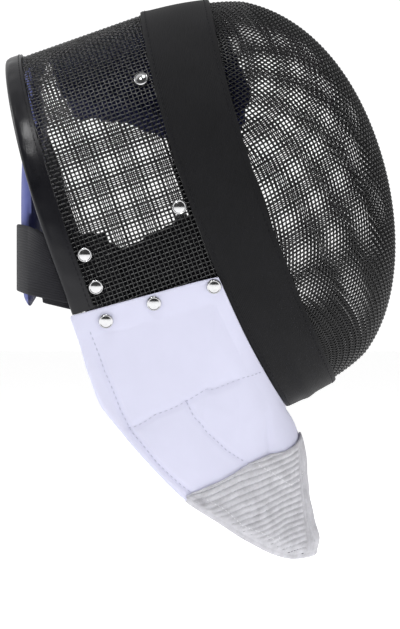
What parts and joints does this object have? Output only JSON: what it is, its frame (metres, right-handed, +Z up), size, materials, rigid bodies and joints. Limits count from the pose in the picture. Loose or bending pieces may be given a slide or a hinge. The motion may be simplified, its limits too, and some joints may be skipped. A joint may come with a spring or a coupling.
{
  "type": "fencing mask",
  "caption": "Foil fencing mask: black wire dome and basket joined by a wide black band, white padded bib with a grey conductive panel, blue rear tongue and black elastic strap.",
  "frame": {"origin": "the point under the crown pad that the top of the wearer's head meets, on the middle plane", "axes": "+X the way the face looks, +Y the wearer's left, +Z up as it is worn in the picture"},
  "size_m": [0.2666, 0.2064, 0.3827],
  "materials": {
    "black_wire": "black satin coating on woven steel wire",
    "black_satin": "black satin-faced fabric",
    "black_binding": "glossy black leather-look binding",
    "white_cloth": "matte padded cloth, white with a lavender cast",
    "grey_lame": "grey conductive cloth with a faint metal sheen",
    "blue_cloth": "matte blue padded cloth",
    "black_elastic": "ribbed black elastic webbing",
    "navy_pad": "navy pad cloth",
    "black_pad": "black pad cloth",
    "chrome": "polished rivet heads"
  },
  "bodies": {
    "root": {"face_mesh": "black_wire", "side_mesh": "black_wire", "trim_band": "black_satin", "rear_edge_binding": "black_binding", "bib": "white_cloth", "bib_patch": "grey_lame", "tongue": "blue_cloth", "rear_strap": "black_elastic", "crown_pad": "navy_pad", "strap_anchor_right": "black_elastic", "strap_anchor_left": "black_elastic", "cheek_pad_right": "black_pad", "cheek_pad_left": "black_pad", "rivet_right_1": "chrome", "rivet_right_2": "chrome", "rivet_right_3": "chrome", "rivet_right_4": "chrome", "rivet_right_5": "chrome", "rivet_right_6": "chrome", "rivet_right_7": "chrome", "rivet_left_1": "chrome", "rivet_left_2": "chrome", "rivet_left_3": "chrome", "rivet_left_4": "chrome", "rivet_left_5": "chrome", "rivet_left_6": "chrome", "rivet_left_7": "chrome"}
  },
  "joints": []
}
